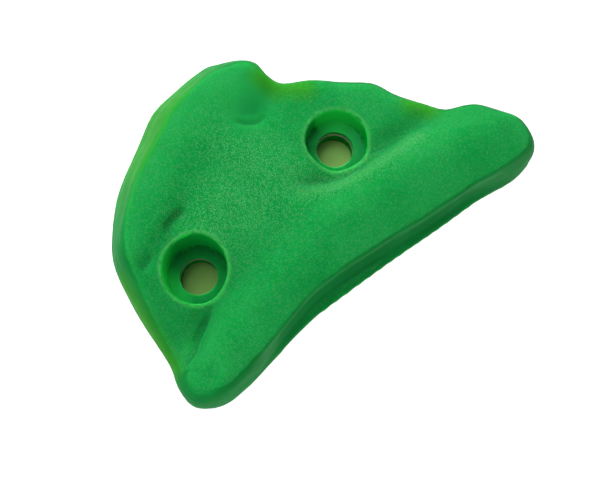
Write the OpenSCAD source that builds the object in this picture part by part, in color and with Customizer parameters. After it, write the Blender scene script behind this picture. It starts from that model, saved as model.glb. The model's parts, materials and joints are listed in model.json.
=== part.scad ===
// Bolt-on climbing hold: a cast body with a flat back, a positive lip for the
// fingers along its lower edge, two recessed bolt holes and a steel load washer
// cast in around each bolt hole.
// Frame: the flat back is the plane z = 0, the origin is midway between the two
// bolt holes, +X runs along them, +Y points up the wall and +Z points outwards.

/* [Body] */
// Length of the back along the line of the bolt holes
body_length = 128; // [110:0.5:160]
// Width of the back, from the finger lip to the upper edge
body_width = 92; // [82:0.5:120]
// Height of the finger lip's crest above the back
lip_height = 28; // [24:0.5:36]
// Height of the brow along the upper edge
brow_height = 27; // [22:0.5:34]
// Height of the mass between the lip and the brow
mass_height = 25; // [20:0.5:30]
// Height of the sloping facet around the first bolt hole
facet_height = 22; // [17:0.5:26]
// Height of the shelf around the second bolt hole
shelf_height = 17; // [14:0.5:22]
// Height of the upright band at the foot of the flanks
foot_height = 2.5; // [1.5:0.5:5]

/* [Bolt holes] */
// Distance between the two bolt holes
bolt_spacing = 55; // [45:0.5:66]
// Diameter of each bolt hole
bolt_hole_d = 11; // [9:0.5:14]
// Diameter of each recess for a bolt head
recess_d = 18; // [15:0.5:22]
// Thickness of the floor that the bolt head pulls on
seat_height = 8; // [6.5:0.5:12]

/* [Load washers] */
// Outer diameter of each load washer
washer_d = 20; // [16:0.5:26]
// Thickness of each load washer
washer_thickness = 2; // [1.5:0.1:3]
// Thickness of the cast skin between a washer and the seat above it
washer_skin = 1.5; // [1:0.1:3]

/* [Relief] */
// Depth of the grooves that divide the ridges
groove_depth = 2.2; // [0:0.1:3.5]
// Width of those grooves
groove_width = 3.4; // [2:0.1:6]
// How softly the ridges run into each other
blend = 1.3; // [0.8:0.1:3]

/* [Hidden] */
$fn = 64;
cut = 0.5; // how far a cutter runs past the face that it opens
steps = 3; // outline samples between two neighbouring points
top_rings = 16;
crowding = 1.5; // how tightly the top rings crowd towards the edge

// The foot of the body on the wall, anticlockwise from the tip of the lip.
// Each row holds x, y, how far in the flank ends, and how hollow the flank is:
// 1 is a cove under the finger lip, 0 a plain bevel and -1 a full round.
outline = [
    [74, -34.5, 9, -1], [72, -28.5, 8, -1], [68.5, -20.5, 8, -1], [61.5, -15.5, 7, -1],
    [57.5, -9.5, 6, -1], [53.5, -2, 6, -1], [50.5, 6.5, 6, -1], [43.5, 14.5, 6, -1],
    [37.5, 21, 6, -1], [30.5, 25.5, 5, -1], [28.5, 30.5, 5, -1], [29, 35.5, 7, -1],
    [26.5, 41, 8, -0.5], [19, 47.5, 11, 0], [8, 48.5, 12, 0], [-3, 48, 12, 0],
    [-14, 43, 11, 0], [-26.5, 37, 10, 0], [-35, 30.5, 9, 0], [-42.5, 22, 8, -0.3],
    [-46, 13, 7, -0.5], [-49, 0, 5, -0.4], [-51, -12, 4, -0.3], [-53.5, -18.5, 7, -1],
    [-54, -26, 9, -1], [-47.5, -31.5, 8, -0.9], [-38, -32.5, 6, -0.5], [-26, -32, 4.5, 0.7],
    [-13, -31.5, 4, 1], [0, -33, 4, 1], [18, -35.5, 4, 1], [36, -38.5, 4.5, 1],
    [50, -40.5, 5.5, 0.8], [62, -43.5, 8, 0], [71, -42, 9, -1]];
middle = [3, -3];
facet_rise = [0.43, 0.44]; // slope of the facet around the first bolt hole, along x and y
shelf_lead = 25.5; // how far before the second bolt hole the face starts to fall to the shelf
shelf_run = 24; // how far that fall runs

// Ridges as rows of x, y and the height that the crest has lost there. Each shape
// holds the slope of a side and the roundness of the crest, for both sides.
lip_crest = [[80, -35, 16], [66, -30, 7], [52, -26, 2.5], [38, -22.5, 1], [22, -19.5, 0],
    [6, -17.5, 0], [-10, -17.5, 1], [-26, -20.5, 3.5], [-38, -23.5, 7], [-47, -25.5, 12],
    [-57, -27, 18]];
brow_crest = [[32, 37, 14], [22, 33.5, 6], [10, 32, 1.5], [-3, 29, 0], [-16, 25, 1],
    [-28, 20.5, 2.5], [-36, 15, 5], [-42, 9, 9], [-52, 0, 16]];
lip_shape = [[1.3, 6], [0.85, 13]];
brow_shape = [[0.8, 8], [1, 9]];

// Grooves as rows of x, y and the share of the full depth there.
grooves = [
    [[5, 1, 0.2], [14, -5, 0.9], [23, -9.5, 0.9], [32, -9.5, 1.3], [40, -11, 1.3], [50, -13, 0.9],
        [60, -15, 0]],
    [[-12, 16.5, 0.2], [-19, 13.5, 1], [-26, 11, 1.8], [-33, 10, 1.2], [-41, 8.5, 0.3]],
    [[-32, -10.5, 1], [-38, -13.5, 1.3], [-44, -16, 1], [-50, -17, 0.2]],
    [[25, 22, 0.1], [21, 21.5, 0.5], [14, 21.5, 1]]];

// Profiles of the flank from foot to shoulder: share of the way in, share of the way up.
round_flank = [[0.01, 0], [0.07, 0.28], [0.18, 0.54], [0.36, 0.76], [0.64, 0.92], [1, 1]];
bevel_flank = [[0.03, 0], [0.2, 0.24], [0.4, 0.46], [0.6, 0.67], [0.8, 0.87], [0.95, 1]];
cove_flank = [[0.15, 0], [0.8, 0.1], [1.35, 0.32], [1.4, 0.6], [1, 0.88], [1.2, 1]];

function column(rows, i) = [for (row = rows) row[i]];
function span(rows, i) = max(column(rows, i)) - min(column(rows, i));
shoulder = len(bevel_flank) - 1;
stretch_x = body_length / span(outline, 0);
stretch_y = body_width / span(outline, 1);
bolt_xs = [-bolt_spacing / 2, bolt_spacing / 2];
washer_base = seat_height - washer_skin - washer_thickness;

// A smooth closed curve through rows of numbers, sampled evenly.
function along(a, b, c, d, t) =
    b + t * ((c - a) + t * ((2 * a - 5 * b + 4 * c - d) + t * (3 * (b - c) + d - a))) / 2;
function smooth_loop(rows) = let (n = len(rows)) [
    for (i = [0 : n - 1], s = [0 : steps - 1])
        along(rows[(i + n - 1) % n], rows[i], rows[(i + 1) % n], rows[(i + 2) % n], s / steps)];

// Where p falls between a and b, from 0 to 1, and how far a way it is from a line.
function share(p, a, b) = let (d = b - a) min(1, max(0, (p - a) * d / (d * d)));
function flat(row) = [row[0], row[1]];
function gap(p, a, b) = norm(p - a - share(p, a, b) * (b - a));
function mix(a, b, t) = a * (1 - t) + b * t;

function fall(d, shape) = shape[0] * (sqrt(d * d + shape[1] * shape[1]) - shape[1]);
function outer(p, a, b) = cross(b - a, p - a) > 0 ? 1 : 0;
function ridge(p, line, top, shape) = max([for (i = [1 : len(line) - 1])
    let (a = flat(line[i - 1]), b = flat(line[i]), t = share(p, a, b))
        top - mix(line[i - 1][2], line[i][2], t) - fall(gap(p, a, b), shape[outer(p, a, b)])]);
function ease(t) = let (u = min(1, max(0, t))) u * u * (3 - 2 * u);
function ground(p) = let (
        x = p[0] * stretch_x,
        shelf = ease((x - bolt_xs[1] + shelf_lead) / shelf_run),
        facet = facet_height + facet_rise * [x - bolt_xs[0], p[1] * stretch_y])
    -soft_max([-mix(mass_height, shelf_height, shelf), -facet]);
function soft_max(heights) = blend * ln(vsum([for (h = heights) exp(h / blend)]));
function vsum(v, i = 0) = i < len(v) ? v[i] + vsum(v, i + 1) : 0;
function groove(p, line) = groove_depth * max([for (i = [1 : len(line) - 1])
    let (a = flat(line[i - 1]), b = flat(line[i]), d = gap(p, a, b) / groove_width)
        mix(line[i - 1][2], line[i][2], share(p, a, b)) * exp(-d * d)]);

// Height of the face above the back at a point of the unstretched plan.
function face_height(p) =
    soft_max([ground(p), ridge(p, lip_crest, lip_height, lip_shape),
        ridge(p, brow_crest, brow_height, brow_shape)])
    - vsum([for (line = grooves) groove(p, line)]);

function placed(p, z) = [p[0] * stretch_x, p[1] * stretch_y, z];
function inward(row, d) = let (way = middle - flat(row)) flat(row) + way * d / norm(way);
function flank(hollow, k) = hollow > 0
    ? mix(bevel_flank[k], cove_flank[k], hollow)
    : mix(bevel_flank[k], round_flank[k], -hollow);
function flank_ring(rows, k) = [for (row = rows)
    let (at = flank(row[3], k), top = inward(row, row[2] * flank(row[3], shoulder)[0]))
        placed(inward(row, row[2] * at[0]), mix(foot_height, face_height(top), at[1]))];
function top_ring(rows, k) = [for (row = rows)
    let (start = inward(row, row[2] * flank(row[3], shoulder)[0]),
        p = mix(start, middle, pow(k / top_rings, crowding)))
        placed(p, face_height(p))];

module cast_shape() {
    rows = smooth_loop(outline);
    n = len(rows);
    rings = concat(
        [[for (row = rows) placed(flat(row), 0)]],
        [for (k = [0 : shoulder]) flank_ring(rows, k)],
        [for (k = [1 : top_rings - 1]) top_ring(rows, k)]);
    points = concat([for (ring = rings, p = ring) p],
        [placed(middle, face_height(middle)), placed(middle, 0)]);
    tip = len(points) - 2;
    hub = len(points) - 1;
    last = (len(rings) - 1) * n;
    walls = [for (r = [0 : len(rings) - 2], i = [0 : n - 1])
        let (a = r * n + i, b = r * n + (i + 1) % n)
            each [[a, a + n, b], [b, a + n, b + n]]];
    crown = [for (i = [0 : n - 1]) [last + i, tip, last + (i + 1) % n]];
    back = [for (i = [0 : n - 1]) [i, (i + 1) % n, hub]];
    polyhedron(points, concat(walls, crown, back));
}

module bolt_cuts() {
    for (x = bolt_xs) translate([x, 0, 0]) {
        translate([0, 0, -cut]) cylinder(h = seat_height + 2 * cut, d = bolt_hole_d);
        translate([0, 0, seat_height]) cylinder(h = lip_height + brow_height, d = recess_d);
        translate([0, 0, washer_base]) cylinder(h = washer_thickness, d = washer_d);
    }
}

module load_washer(x) {
    translate([x, 0, washer_base]) difference() {
        cylinder(h = washer_thickness, d = washer_d);
        translate([0, 0, -cut]) cylinder(h = washer_thickness + 2 * cut, d = bolt_hole_d);
    }
}

module hold_body() {
    color("limegreen") difference() {
        cast_shape();
        bolt_cuts();
    }
}

module washer_left() {
    color("silver") load_washer(bolt_xs[0]);
}

module washer_right() {
    color("silver") load_washer(bolt_xs[1]);
}

hold_body();
washer_left();
washer_right();
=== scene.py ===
"""The looks of a bolt-on climbing hold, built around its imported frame.

The body is a casting of green resin filled with sand. It is worked up from a copy of its frame
node: remeshed finely, smoothed, and given its grooves, its lumps, its worn rims and its grain.
The two steel load washers cast into it keep their frame meshes and get their finish.
Everything is in metres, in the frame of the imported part.
"""

import json
import logging
import math
from dataclasses import dataclass, field
from enum import Enum
from typing import Optional, Union

import bmesh
import bpy
from mathutils import Matrix, Vector, noise
from mathutils.bvhtree import BVHTree

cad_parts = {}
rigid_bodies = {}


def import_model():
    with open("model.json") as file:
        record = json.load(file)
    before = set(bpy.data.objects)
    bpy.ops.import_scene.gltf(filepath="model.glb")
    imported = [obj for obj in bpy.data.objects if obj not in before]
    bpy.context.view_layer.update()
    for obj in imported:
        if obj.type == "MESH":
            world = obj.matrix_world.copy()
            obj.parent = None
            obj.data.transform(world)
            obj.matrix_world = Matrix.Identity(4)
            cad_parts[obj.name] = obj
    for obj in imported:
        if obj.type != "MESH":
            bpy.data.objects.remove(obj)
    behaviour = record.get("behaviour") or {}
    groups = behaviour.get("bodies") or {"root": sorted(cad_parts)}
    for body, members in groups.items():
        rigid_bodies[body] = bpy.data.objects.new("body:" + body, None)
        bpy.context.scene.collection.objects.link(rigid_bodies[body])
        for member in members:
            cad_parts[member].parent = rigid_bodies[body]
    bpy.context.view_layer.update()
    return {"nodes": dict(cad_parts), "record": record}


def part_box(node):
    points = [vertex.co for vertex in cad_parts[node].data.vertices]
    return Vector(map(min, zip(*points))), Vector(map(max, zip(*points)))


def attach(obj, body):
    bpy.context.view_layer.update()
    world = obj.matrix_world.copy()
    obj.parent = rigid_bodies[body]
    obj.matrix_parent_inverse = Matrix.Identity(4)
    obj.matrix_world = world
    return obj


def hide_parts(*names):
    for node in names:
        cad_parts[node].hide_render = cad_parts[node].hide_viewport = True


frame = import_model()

log = logging.getLogger("climbing_hold")

MM = 0.001
ROOT_BODY = "root"
WASHERS = ("washer_left", "washer_right")

Point = tuple[float, float]
Span = tuple[float, float]
Colour = tuple[float, float, float]
Input = Union[float, Colour, "Shade"]


class Trait(Enum):
    """Measures of the body's surface that its finish reads, from 0 to 1."""

    GRIT = "grit"  # how thickly sand lies on the face
    THIN = "thin"  # painted glow: a yellower green where light shines through thin resin
    SMOOTH = "smooth"  # the flanks, which show no sand and are painted darker as shade
    RUB = "rub"  # edges that are rubbed pale
    HOLE = "hole"  # the walls of the recesses and the bolt holes
    LIT = "lit"  # recess walls that light comes through
    BACK = "back"  # the flat back


class Shade:
    """A shader socket that arithmetic works on: each operator adds its Math node."""

    def __init__(self, tree: bpy.types.NodeTree, socket: bpy.types.NodeSocket) -> None:
        """Keeps the tree that new nodes go to and the socket that this stands for."""
        self.tree = tree
        self.socket = socket

    def math(self, operation: str, *values: Input) -> "Shade":
        """Adds a Math node.

        Args:
            operation: The node's operation, such as "ADD".
            values: What its inputs hold, in order.

        Returns:
            The node's result.
        """
        node = self.tree.nodes.new("ShaderNodeMath")
        node.operation = operation
        for socket, value in zip(node.inputs, values):
            plug(self.tree, socket, value)
        return Shade(self.tree, node.outputs[0])

    def __add__(self, other: Input) -> "Shade":
        """Sum."""
        return self.math("ADD", self, other)

    def __sub__(self, other: Input) -> "Shade":
        """Difference."""
        return self.math("SUBTRACT", self, other)

    def __rsub__(self, other: Input) -> "Shade":
        """Difference, with the number first."""
        return self.math("SUBTRACT", other, self)

    def __mul__(self, other: Input) -> "Shade":
        """Product."""
        return self.math("MULTIPLY", self, other)

    __radd__ = __add__
    __rmul__ = __mul__

    def beside(self, output: str) -> "Shade":
        """Another output of the node that this comes from."""
        return Shade(self.tree, self.socket.node.outputs[output])


def plug(tree: bpy.types.NodeTree, socket: bpy.types.NodeSocket, value: Input) -> None:
    """Links a shade to a socket, or sets the socket's own number or colour.

    Args:
        tree: The node tree that both are in.
        socket: The input to fill.
        value: A shade, a number or a colour.
    """
    if isinstance(value, Shade):
        tree.links.new(value.socket, socket)
    elif isinstance(value, tuple) and socket.type == "RGBA":
        socket.default_value = (*value, 1.0)
    else:
        socket.default_value = value


class Recipe:
    """One material under construction: its node tree and what the nodes are made with."""

    def __init__(self, name: str) -> None:
        """Starts an empty material of that name."""
        self.material = bpy.data.materials.new(name)
        self.material.use_nodes = True
        self.tree = self.material.node_tree
        self.tree.nodes.clear()

    def node(
        self,
        kind: str,
        settings: Optional[dict] = None,
        inputs: Optional[dict[str, Input]] = None,
        output: str = "",
    ) -> Shade:
        """Adds any node.

        Args:
            kind: The node's type without its ShaderNode prefix.
            settings: The node's own properties, set before its sockets are filled.
            inputs: What each named socket in use holds.
            output: The name of the wanted output, or nothing for the first in use.

        Returns:
            That output.
        """
        node = self.tree.nodes.new("ShaderNode" + kind)
        for name, value in (settings or {}).items():
            setattr(node, name, value)
        for name, value in (inputs or {}).items():
            plug(self.tree, next(s for s in node.inputs if s.enabled and s.name == name), value)
        found = (s for s in node.outputs if s.enabled and output in ("", s.name))
        return Shade(self.tree, next(found))

    def place(self) -> Shade:
        """The point being shaded, in the frame."""
        return self.node("TexCoord", output="Object")

    def trait(self, trait: Trait) -> Shade:
        """A measure that the mesh carries."""
        return self.node("Attribute", {"attribute_name": trait.value}, output="Fac")

    def speckle(self, size: float, detail: float = 2.0, roughness: float = 0.5) -> Shade:
        """Noise from 0 to 1 whose lumps are about that size, in metres."""
        shape = {"Scale": 1 / size, "Detail": detail, "Roughness": roughness}
        return self.node("TexNoise", inputs={"Vector": self.place(), **shape})

    def step(self, value: Shade, span: Span) -> Shade:
        """An eased step from 0 at the span's start to 1 at its end."""
        settings = {"interpolation_type": "SMOOTHSTEP"}
        return self.node("MapRange", settings, {"Value": value, "From Min": span[0], "From Max": span[1]})

    def bump(self, height: Shade, distance: float) -> Shade:
        """Fine relief that high, in metres."""
        return self.node("Bump", inputs={"Height": height, "Distance": distance}, output="Normal")

    def mix(self, share: Input, first: Input, second: Input) -> Shade:
        """The first colour, with that share of the second over it."""
        return self.node("Mix", {"data_type": "RGBA"}, {"Factor": share, "A": first, "B": second})

    def finish(self, constants: dict[str, Input], varying: dict[str, Input]) -> bpy.types.Material:
        """Closes the material with one Principled shader.

        Args:
            constants: Sockets that are the same all over the surface.
            varying: Sockets that change over it.

        Returns:
            The finished material.
        """
        surface = self.node("BsdfPrincipled", inputs={**constants, **varying})
        output = self.tree.nodes.new("ShaderNodeOutputMaterial")
        self.tree.links.new(surface.socket, output.inputs["Surface"])
        return self.material


@dataclass(frozen=True)
class ResinFinish:
    """Green casting resin with quartz sand in it: smooth on the flanks, gritty on the face.

    Each edge or odds is the span over which something comes in, and each share says how strongly
    its colour shows. Some colours are painted light: a glow where light shines through the resin,
    shade on the flanks, and light on the walls of the recesses.
    """

    deep: Colour = (0.0015, 0.116, 0.018)
    body: Colour = (0.0025, 0.146, 0.026)
    milky: Colour = (0.009, 0.170, 0.037)
    # painted glow of light shining through thin resin
    glow: Colour = (0.012, 0.135, 0.005)
    dusty: Colour = (0.045, 0.200, 0.058)
    sand: Colour = (0.048, 0.270, 0.095)
    rose: Colour = (0.100, 0.205, 0.085)
    # the smooth walls' purer green, lightened as painted light inside the recesses
    hole: Colour = (0.001, 0.160, 0.016)
    # painted shade on the flanks, as under the lip
    cove_shade: Colour = (0.0012, 0.088, 0.014)
    # painted glow, given out as emission on the recess walls
    through: Colour = (0.003, 0.16, 0.012)
    dark: Colour = (0.0, 0.0, 0.0)
    cloud_size: float = 24 * MM
    cloud_edge: Span = (0.38, 0.62)
    milky_share: float = 0.45
    mottle_size: float = 3 * MM
    mottle_edge: Span = (0.3, 0.7)
    dust_size: float = 0.2 * MM
    gritty_share: float = 0.6
    thin_glow_share: float = 0.9
    grain_size: float = 0.34 * MM
    grain_edge: Span = (0.42, 0.72)
    grain_odds: Span = (0.62, 0.68)
    rose_odds: Span = (0.62, 0.7)
    grain_share: float = 0.5
    grain_height: float = 0.05 * MM
    roughness: float = 0.6
    index: float = 1.5
    gloss: float = 0.01
    scatter: Colour = (0.25, 1.0, 0.25)
    scatter_depth: float = 6 * MM

    def grains(self, recipe: Recipe, amount: Input) -> tuple[Shade, Shade]:
        """Scatters grains of sand.

        Args:
            recipe: The material that they go into.
            amount: How many of the places for a grain hold one, from 0 to 1.

        Returns:
            How much of a grain is at the point, and a number that each grain keeps to itself.
        """
        inputs = {"Vector": recipe.place(), "Scale": 1 / self.grain_size}
        away = recipe.node("TexVoronoi", {"feature": "F1"}, inputs, "Distance")
        own = away.beside("Color") + 0.0
        held = recipe.step(own + amount * 0.5, self.grain_odds)
        return recipe.step(1.0 - away, self.grain_edge) * held, own

    def material(self) -> bpy.types.Material:
        """Builds the material."""
        recipe = Recipe("cast_green_resin")
        trait = recipe.trait
        cloud = recipe.step(recipe.speckle(self.cloud_size), self.cloud_edge)
        mottle = recipe.speckle(self.mottle_size, 3.0, 0.6)
        dust = recipe.speckle(self.dust_size, 1.0)
        grit, smooth = trait(Trait.GRIT), trait(Trait.SMOOTH)
        grain, own = self.grains(recipe, grit * (0.55 + cloud * 0.25 + mottle * 0.3))
        grain = grain * grit
        grain_colour = recipe.mix(recipe.step(own, self.rose_odds), self.sand, self.rose)
        colour = recipe.mix(recipe.step(mottle, self.mottle_edge), self.deep, self.body)
        layers = (
            (0.4 + cloud * 0.3, self.body),
            (cloud * self.milky_share * (1.0 - smooth), self.milky),
            (grit * self.gritty_share, self.deep),
            # painted shade: the flanks are darkened
            (smooth * (0.5 + cloud * 0.35), self.cove_shade),
            # recess walls: their own purer green, lightened as painted light
            (trait(Trait.HOLE), self.hole),
            # painted glow where light shines through thin resin
            (trait(Trait.THIN) * self.thin_glow_share, self.glow),
            (trait(Trait.RUB) * (0.3 + dust * 0.7), self.dusty),
            (trait(Trait.BACK) * (0.2 + dust * 0.5), self.dusty),
            (grain * self.grain_share, grain_colour),
        )
        for share, over in layers:
            colour = recipe.mix(share, colour, over)
        constants = {
            "IOR": self.index,
            "Emission Strength": 1.0,
            "Specular IOR Level": self.gloss,
            "Subsurface Weight": 1.0,
            "Subsurface Radius": self.scatter,
            "Subsurface Scale": self.scatter_depth,
        }
        varying = {
            "Base Color": colour,
            "Roughness": self.roughness + (mottle - 0.5) * 0.2 - grain * 0.2 - smooth * 0.1,
            # Emission paints a glow of light coming through the resin onto the recess walls.
            "Emission Color": recipe.mix(trait(Trait.LIT), self.dark, self.through),
            "Normal": recipe.bump(grain * 0.7 + dust * (0.1 + grit * 0.3), self.grain_height),
        }
        return recipe.finish(constants, varying)


@dataclass(frozen=True)
class SteelFinish:
    """Dull zinc-plated steel, stained where the resin touches it."""

    plate: Colour = (0.50, 0.50, 0.48)
    stain: Colour = (0.24, 0.30, 0.22)
    stain_size: float = 3 * MM
    stain_edge: Span = (0.42, 0.66)
    stain_share: float = 0.7
    scratch_size: float = 0.3 * MM
    scratch_height: float = 0.02 * MM
    roughness: float = 0.34

    def material(self) -> bpy.types.Material:
        """Builds the material."""
        recipe = Recipe("dull_zinc_plate")
        stained = recipe.step(recipe.speckle(self.stain_size, 3.0), self.stain_edge)
        scratch = recipe.speckle(self.scratch_size)
        varying = {
            "Base Color": recipe.mix(stained * self.stain_share, self.plate, self.stain),
            "Roughness": self.roughness + stained * 0.25 + scratch * 0.12,
            "Metallic": 1.0 - stained * 0.5,
            "Normal": recipe.bump(scratch, self.scratch_height),
        }
        return recipe.finish({}, varying)


@dataclass(frozen=True)
class PaperFinish:
    """Plain matt paper, which may shine through a little."""

    shade: Colour = (0.25, 0.25, 0.25)
    white: Colour = (1.0, 1.0, 1.0)
    roughness: float = 0.9
    glow: float = 0.0

    def material(self, name: str) -> bpy.types.Material:
        """Builds the material of that name."""
        constants = {
            "Base Color": self.shade,
            "Roughness": self.roughness,
            "Emission Color": self.white,
            "Emission Strength": self.glow,
        }
        return Recipe(name).finish(constants, {})


@dataclass(frozen=True)
class Groove:
    """A crease in the face, which fades at both ends, each over that share of its length."""

    line: tuple[Point, ...]
    depth: float
    width: float
    fade: float = 0.25

    def depth_at(self, point: Vector) -> float:
        """How deep the crease is at a point of the plan, in metres."""
        away, along = nearest(point, self.line)
        ends = min(1.0, min(along, 1 - along) / self.fade)
        return self.depth * ends * math.exp(-((away / self.width) ** 2))


@dataclass(frozen=True)
class Patch:
    """A stretch of the plan along a line: whole as far as solid, gone at width.

    It may fade towards its two ends too, each over that share of its length.
    """

    line: tuple[Point, ...]
    width: float
    solid: float = 0.0
    fade: float = 0.0

    def share_at(self, point: Vector) -> float:
        """How much of the patch is at a point of the plan, from 0 to 1."""
        away, along = nearest(point, self.line)
        end = ease(min(along, 1 - along), (0, self.fade)) if self.fade else 1.0
        return end * (1 - ease(away, (self.solid, self.width)))


def nearest(point: Vector, line: tuple[Point, ...]) -> tuple[float, float]:
    """Finds the nearest place on a line of the plan.

    Args:
        point: The point, in metres.
        line: The line's corners, in millimetres.

    Returns:
        Its distance in metres, and how far along the line it is, from 0 to 1.
    """
    best, where = math.inf, 0.0
    stretches = len(line) - 1
    for index in range(stretches):
        start = Vector(line[index]) * MM
        way = Vector(line[index + 1]) * MM - start
        share = min(1.0, max(0.0, (point.xy - start).dot(way) / way.length_squared))
        distance = (point.xy - start - way * share).length
        if distance < best:
            best, where = distance, (index + share) / stretches
    return best, where


def ease(value: float, span: Span) -> float:
    """An eased step from 0 at the span's start to 1 at its end."""
    share = min(1.0, max(0.0, (value - span[0]) / (span[1] - span[0])))
    return share * share * (3 - 2 * share)


@dataclass
class HoldBody:
    """The cast body, from its frame node to its finished surface.

    A size that is a pair is the span over which a trait or a height comes in or goes.
    """

    node: str = "hold_body"
    voxel: float = 0.56 * MM
    bore_radius: float = 5.5 * MM
    recess_radius: float = 9 * MM
    seat: float = 8 * MM
    snap: float = 0.7
    upright: float = 0.5
    soft_passes: int = 8
    mouth_passes: int = 3
    soft_factor: float = 0.5
    rim_reach: float = 1.1 * MM
    rim_height: float = 0.22 * MM
    rim_grain: float = 8
    bead_edge: Span = (0, 2)
    groove_edge: Span = (0.3, 1.2)
    lump_size: float = 8 * MM
    lump_height: float = 0.3 * MM
    pimple_size: float = 1.3 * MM
    pimple_height: float = 0.08 * MM
    clear: float = 4 * MM
    mouth_edge: Span = (0.05 * MM, 0.45 * MM)
    seat_slope: Span = (0.5, 0.9)
    flank_slope: Span = (0.62, 0.74)
    inside_slope: float = 1.2
    wall_depth: Span = (8 * MM, 22 * MM)
    lit_hole: float = 0.5
    worn_bulge: Span = (0.16, 0.3)
    worn_share: float = 0.7
    fringe_share: float = 0.3
    rim_share: float = 0.6
    bare_share: float = 0.9
    band_share: float = 0.7
    least_sand: float = 0.42
    sharp_angle: float = 50
    grooves: tuple[Groove, ...] = (
        Groove(
            ((8, -2), (14, -5), (20, -8.5), (27, -10.6), (35, -11), (42, -12), (52, -14.5)),
            1.4 * MM,
            1.5 * MM,
        ),
        Groove(((-18, 14), (-21, 13.6), (-24, 13.4), (-27, 12)), 1.6 * MM, 1.2 * MM),
        Groove(((-33, 10.8), (-36, 9.8), (-39, 9.4)), 0.8 * MM, 1 * MM),
        Groove(
            ((-31, -10.2), (-36, -12), (-40, -13.3), (-43.5, -15.4), (-50, -17.5)),
            1.9 * MM,
            0.85 * MM,
        ),
        Groove(((30, 25), (22, 23), (14, 22)), 0.5 * MM, 4 * MM),
        Groove(((8.5, 23), (11, 20.4), (14, 19), (18, 19)), 1.0 * MM, 0.9 * MM),
    )
    filled: Patch = Patch(((12, 22), (17, 22)), 6 * MM)
    filled_height: float = 0.25 * MM
    band: Patch = Patch(
        ((24, 44), (10, 44.5), (-4, 42), (-14, 38), (-26, 33.5), (-40, 22)), 7.4 * MM, 6 * MM, 0.36
    )
    # Patches painted with the glow of light through thin resin.
    thin_glow_patches: tuple[Patch, ...] = (
        Patch(((24.5, 28), (26, 24), (32, 18)), 6.5 * MM),
        Patch(((-51, -14), (-49.5, -7), (-47.5, 4), (-45.5, 13)), 5.5 * MM),
        Patch(((54, -12), (51, -7)), 5.5 * MM),
    )
    settled: tuple[Patch, ...] = (
        Patch(((4, 14), (8, 4), (-1, 3), (-8, 7), (-16, 6)), 21 * MM),
        Patch(((7, -2), (17, -7), (24, -10), (33, -12.5)), 6.5 * MM),
        Patch(((8, -6), (17, -11), (24, -13.5), (33, -15), (44, -16.5)), 5.5 * MM),
    )
    fringe: Patch = Patch(((8, -5.5), (17, -10.5), (24, -13), (33, -14.6), (44, -16)), 2.6 * MM)
    bare: Patch = Patch(((28, 31), (20, 25), (12, 22)), 9 * MM)
    bolts: list[Vector] = field(default_factory=list)
    washer_radius: float = 0.0
    levels: tuple[float, ...] = ()

    def __post_init__(self) -> None:
        """Takes the places of the bolt holes and the washers from the frame."""
        pattern = next(m for m in frame["record"]["mounts"] if m["kind"] == "bolt_pattern")
        centre = Vector(pattern["pos_m"][:2])
        half = Vector((pattern["dims"]["spacing_x_mm"] * MM / 2, 0))
        self.bolts = [centre - half, centre + half]
        low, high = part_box(WASHERS[0])
        self.washer_radius = (high.x - low.x) / 2
        self.levels = (0.0, low.z, high.z, self.seat)

    def bolt_near(self, point: Vector) -> Vector:
        """The nearest bolt hole's axis in the plan."""
        return min(self.bolts, key=lambda bolt: (point.xy - bolt).length)

    def reach(self, point: Vector) -> float:
        """Distance from a point to the nearest bolt hole's axis."""
        return (point.xy - self.bolt_near(point)).length

    def bead(self, reach: float) -> float:
        """How far a reach is across a recess's rim, from 0 at its inner edge to 1."""
        return (reach - self.recess_radius) / self.rim_reach

    def rim(self, reach: float) -> float:
        """The round profile of a recess's rim, 1 at its crest."""
        return math.exp(-((2 * self.bead(reach) - 1) ** 2))

    def remeshed(self) -> bpy.types.Mesh:
        """A fine, even copy of the frame node's mesh."""
        welded = frame["nodes"][self.node].data.copy()
        work = bmesh.new()
        work.from_mesh(welded)
        bmesh.ops.remove_doubles(work, verts=work.verts, dist=0.001 * MM)
        work.to_mesh(welded)
        work.free()
        rough = bpy.data.objects.new("rough_casting", welded)
        bpy.context.scene.collection.objects.link(rough)
        remesh = rough.modifiers.new("even", "REMESH")
        remesh.mode = "VOXEL"
        remesh.voxel_size = self.voxel
        depsgraph = bpy.context.evaluated_depsgraph_get()
        mesh = bpy.data.meshes.new_from_object(rough.evaluated_get(depsgraph))
        bpy.data.objects.remove(rough)
        return mesh

    def soften(self, work: bmesh.types.BMesh) -> None:
        """Smooths the facets out of the face and the flanks.

        Args:
            work: The body's mesh.
        """
        clear = self.recess_radius + self.rim_reach / 2
        wall = self.recess_radius - self.voxel
        base = self.seat + self.clear / 2
        outside = [v for v in work.verts if self.reach(v.co) > clear]
        foot = [v for v in outside if v.co.z < self.voxel / 2]
        above = [v for v in outside if v.co.z >= self.voxel / 2]
        mouths = [v for v in work.verts if wall < self.reach(v.co) <= clear and v.co.z > base]
        level = {"factor": self.soft_factor, "use_axis_x": True, "use_axis_y": True}
        upright = {"factor": self.soft_factor, "use_axis_z": True}
        for _ in range(self.soft_passes):
            bmesh.ops.smooth_vert(work, verts=above, use_axis_z=True, **level)
            bmesh.ops.smooth_vert(work, verts=foot, use_axis_z=False, **level)
            for _ in range(self.mouth_passes):
                bmesh.ops.smooth_vert(work, verts=mouths, **upright)
        work.normal_update()

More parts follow.
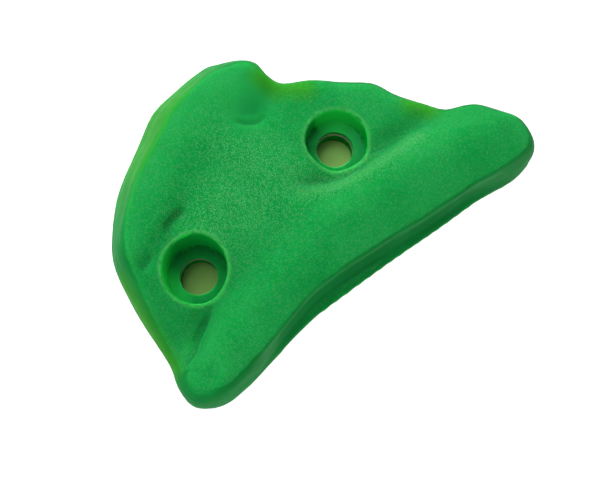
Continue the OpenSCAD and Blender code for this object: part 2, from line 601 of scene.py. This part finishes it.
    def true_up(self, work: bmesh.types.BMesh) -> None:
        """Puts the holes' walls, their floors and the back exactly where the frame has them.

        Args:
            work: The body's mesh.
        """
        near = self.snap * self.voxel
        for vert in work.verts:
            bolt = self.bolt_near(vert.co)
            way = vert.co.xy - bolt
            low = vert.co.z < self.seat + near
            if low and way.length < self.washer_radius + near:
                level = min(self.levels, key=lambda z: abs(vert.co.z - z))
                if abs(vert.co.z - level) < near:
                    vert.co.z = level
            elif vert.co.z < near:
                vert.co.z = 0.0
            outer = self.washer_radius if vert.co.z < self.seat - near else self.recess_radius
            radius = min((self.bore_radius, outer), key=lambda r: abs(way.length - r))
            upright = low or abs(vert.normal.z) < self.upright
            if upright and abs(way.length - radius) < near:
                vert.co.xy = bolt + way * (radius / way.length)
        work.normal_update()

    def carve(self, work: bmesh.types.BMesh) -> None:
        """Cuts the grooves and raises the rims of the recesses, the lumps and the pimples.

        Args:
            work: The body's mesh.
        """
        moves = []
        for vert in work.verts:
            reach = self.reach(vert.co)
            if reach < self.recess_radius + self.voxel / 2 or vert.co.z < self.voxel / 2:
                continue
            face = max(0.0, vert.normal.z)
            bead = self.bead(reach)
            depth = sum(groove.depth_at(vert.co) for groove in self.grooves)
            depth -= self.filled_height * self.filled.share_at(vert.co)
            pimple = noise.noise(vert.co / self.pimple_size) * self.pimple_height
            lump = noise.noise(vert.co / self.lump_size) * self.lump_height
            rim = (self.rim_height + self.rim_grain * pimple) * self.rim(reach)
            share = ease(bead, self.bead_edge) * ease(vert.co.z, (self.voxel, self.clear))
            height = share * (lump + pimple * face)
            height += face * (rim - depth * ease(bead, self.groove_edge))
            moves.append((vert, vert.normal * height))
        for vert, move in moves:
            vert.co += move
        work.normal_update()

    def measure(self, work: bmesh.types.BMesh) -> None:
        """Writes the traits that the finish reads onto the mesh.

        Args:
            work: The body's mesh.
        """
        layers = {trait: work.verts.layers.float.new(trait.value) for trait in Trait}
        tree = BVHTree.FromBMesh(work)
        bulges = self.bulges(work)
        for vert in work.verts:
            for trait, value in self.traits(tree, vert, bulges).items():
                vert[layers[trait]] = value

    def bulges(self, work: bmesh.types.BMesh) -> list[float]:
        """How far each vertex stands out from its neighbours, in voxels."""
        found = []
        for vert in work.verts:
            around = [edge.other_vert(vert).co for edge in vert.link_edges]
            middle = sum(around, Vector()) / len(around)
            found.append((vert.co - middle).dot(vert.normal) / self.voxel)
        return found

    def traits(
        self, tree: BVHTree, vert: bmesh.types.BMVert, bulges: list[float]
    ) -> dict[Trait, float]:
        """Works out the traits of one vertex.

        Args:
            tree: The body's faces, for rays.
            vert: The vertex.
            bulges: How far each vertex stands out.

        Returns:
            Each trait's value.
        """
        reach = self.reach(vert.co)
        hole = 1 - ease(reach - self.recess_radius, self.mouth_edge)
        back = 1 - ease(vert.co.z, (0, self.voxel))
        open_side = (1 - hole) * (1 - back)
        flank = 1 - ease(vert.normal.z, self.flank_slope)
        if flank > 0 and self.inside(tree, vert):
            flank = 0.0
        # Painted glow of light through thin resin, in the listed patches and along the bevel band. The
        # band also shows no sand.
        patch_glow = max(patch.share_at(vert.co) for patch in self.thin_glow_patches)
        band = self.band_share * self.band.share_at(vert.co)
        near = [vert, *(edge.other_vert(vert) for edge in vert.link_edges)]
        convex = sum(bulges[v.index] for v in near) / len(near)
        worn = self.worn_share * ease(convex, self.worn_bulge)
        worn = max(worn, self.fringe_share * self.fringe.share_at(vert.co)) * open_side
        bare = max(flank, band, self.bare_share * self.bare.share_at(vert.co))
        sand = max(patch.share_at(vert.co) for patch in self.settled)
        sand = self.least_sand + (1 - self.least_sand) * sand
        return {
            Trait.HOLE: hole * (1 - ease(vert.normal.z, self.seat_slope)),
            Trait.LIT: hole * self.light_through(tree, vert) if hole > self.lit_hole else 0.0,
            Trait.BACK: back * (1 - hole),
            Trait.SMOOTH: flank * open_side,
            Trait.THIN: max(patch_glow, band) * open_side,
            Trait.RUB: max(worn, self.rim_share * self.rim(reach) * (1 - hole)),
            Trait.GRIT: (1 - bare) * open_side * sand,
        }

    def light_through(self, tree: BVHTree, vert: bmesh.types.BMVert) -> float:
        """How much light comes through the body to a point of a recess's wall, from 0 to 1."""
        way = Vector((*(vert.co.xy - self.bolt_near(vert.co)), 0)).normalized()
        start = vert.co + way * self.voxel - Vector((0, 0, self.voxel / 2))
        hit = tree.ray_cast(start, way)
        above = ease(vert.co.z, (self.seat - self.voxel, self.seat))
        return above * (1 - ease(hit[3], self.wall_depth)) if hit[0] is not None else 0.0

    def inside(self, tree: BVHTree, vert: bmesh.types.BMVert) -> bool:
        """Whether a steep spot faces more of the body, as a valley's wall does, and not the open."""
        way = Vector((*vert.normal.xy.normalized(), -self.inside_slope)).normalized()
        return tree.ray_cast(vert.co + vert.normal * self.voxel, way)[0] is not None

    def build(self, finish: ResinFinish) -> bpy.types.Object:
        """Makes the body.

        Args:
            finish: What it is cast in.

        Returns:
            The finished piece, which stands for its frame node.
        """
        mesh = self.remeshed()
        work = bmesh.new()
        work.from_mesh(mesh)
        self.soften(work)
        self.true_up(work)
        self.carve(work)
        self.measure(work)
        for side in work.faces:
            side.smooth = True
        for edge in work.edges:
            if len(edge.link_faces) == 2 and edge.calc_face_angle() > math.radians(self.sharp_angle):
                edge.smooth = False
        work.to_mesh(mesh)
        work.free()
        mesh.name = "cast_body"
        mesh.materials.clear()
        mesh.materials.append(finish.material())
        body = bpy.data.objects.new("cast_body", mesh)
        bpy.context.scene.collection.objects.link(body)
        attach(body, ROOT_BODY)
        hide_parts(self.node)
        log.info("cast_body: %d faces", len(mesh.polygons))
        return body


@dataclass
class LoadWashers:
    """The two steel washers cast in under the seats."""

    nodes: tuple[str, ...] = WASHERS

    def dress(self, finish: SteelFinish) -> None:
        """Gives each washer its finish.

        Args:
            finish: What they are plated with.
        """
        steel = finish.material()
        for name in self.nodes:
            washer = frame["nodes"][name]
            for slot in washer.material_slots:
                slot.material = steel
            log.info("%s: dressed", name)


@dataclass
class Studio:
    """A white sheet, two soft lamps that face it from above, and the camera."""

    camera_place: tuple[float, float, float] = (-39.9, -47.5, 264.4)
    look_at: tuple[float, float, float] = (0.4, -13.0, 12.0)
    view_up: float = 45.9
    lens: float = 54
    clip_start: float = 10 * MM
    sheet_size: float = 3.0
    sheet_drop: float = 0.1 * MM
    sheet_glow: float = 0.85
    shade_card_radius: float = 8 * MM
    shade_card_segments: int = 48
    shade_card_drop: float = 0.05 * MM
    # painted shade: the floor seen through the bolt holes, lit green by the resin
    shade_card_colour: Colour = (0.09, 0.20, 0.037)
    key_place: tuple[float, float, float] = (0.04, 0.18, 0.38)
    lamp_size: float = 0.28
    key_power: float = 3.55
    fill_place: tuple[float, float, float] = (-0.25, -0.20, 0.30)
    fill_power: float = 0.45
    sky: float = 1.0

    def aimed(self, place: Vector, target: Vector, up: Vector) -> Matrix:
        """The pose of a thing at a place that looks at a target.

        Args:
            place: Where it is.
            target: What it looks at.
            up: Roughly which way its top points.

        Returns:
            Its matrix.
        """
        back = (place - target).normalized()
        right = up.cross(back).normalized()
        turn = Matrix((right, back.cross(right), back)).transposed()
        return Matrix.Translation(place) @ turn.to_4x4()

    def set_camera(self) -> None:
        """Makes the camera and hands it to the scene."""
        camera = bpy.data.objects.new("camera", bpy.data.cameras.new("camera"))
        camera.data.lens = self.lens
        camera.data.clip_start = self.clip_start
        angle = math.radians(self.view_up)
        up = Vector((math.cos(angle), math.sin(angle), 0))
        camera.matrix_world = self.aimed(Vector(self.camera_place) * MM, Vector(self.look_at) * MM, up)
        bpy.context.scene.collection.objects.link(camera)
        bpy.context.scene.camera = camera

    def set_light(self) -> None:
        """Makes the two soft lamps and the even light of the room."""
        lamps = {"key": (self.key_place, self.key_power), "fill": (self.fill_place, self.fill_power)}
        for name, (place, power) in lamps.items():
            light = bpy.data.lights.new(name, "AREA")
            light.size = self.lamp_size
            light.energy = power
            lamp = bpy.data.objects.new(name, light)
            lamp.matrix_world = self.aimed(Vector(place), Vector(), Vector((1, 0, 0)))
            lamp.visible_camera = False
            bpy.context.scene.collection.objects.link(lamp)
        world = bpy.data.worlds.new("room")
        world.use_nodes = True
        sky = world.node_tree.nodes["Background"]
        sky.inputs["Color"].default_value = (1, 1, 1, 1)
        sky.inputs["Strength"].default_value = self.sky
        bpy.context.scene.world = world

    def lay(self, name: str, work: bmesh.types.BMesh, finish: PaperFinish) -> None:
        """Turns a flat bmesh into part of the stage.

        Args:
            name: What to call it.
            work: Its mesh, which is freed.
            finish: What it is made of.
        """
        mesh = bpy.data.meshes.new(name)
        work.to_mesh(mesh)
        work.free()
        mesh.materials.append(finish.material(name))
        sheet = bpy.data.objects.new(name, mesh)
        bpy.context.scene.collection.objects.link(sheet)

    def lay_floor(self) -> None:
        """Lays the white sheet, and dark green discs under the bolt holes, which paint the shaded
        floor seen through them, lit green by the resin.
        """
        sheet = bmesh.new()
        bmesh.ops.create_grid(sheet, x_segments=1, y_segments=1, size=self.sheet_size / 2)
        bmesh.ops.translate(sheet, verts=sheet.verts, vec=(0, 0, -self.sheet_drop))
        self.lay("sheet", sheet, PaperFinish(glow=self.sheet_glow))
        # Dark green discs under the bolt holes, painted as the shaded floor seen through them.
        shade_card = bmesh.new()
        disc = {"cap_ends": True, "segments": self.shade_card_segments, "radius": self.shade_card_radius}
        for washer in WASHERS:
            low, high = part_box(washer)
            place = Matrix.Translation(((low.x + high.x) / 2, (low.y + high.y) / 2, -self.shade_card_drop))
            bmesh.ops.create_circle(shade_card, matrix=place, **disc)
        self.lay("shade_card", shade_card, PaperFinish(shade=self.shade_card_colour))

    def build(self) -> None:
        """Sets up the whole studio."""
        self.set_camera()
        self.set_light()
        self.lay_floor()
        bpy.context.scene.view_settings.view_transform = "Standard"


def main() -> None:
    """Builds the studio, then every piece in order."""
    logging.basicConfig(level=logging.INFO)
    Studio().build()
    HoldBody().build(ResinFinish())
    LoadWashers().dress(SteelFinish())


if __name__ == "__main__":
    main()
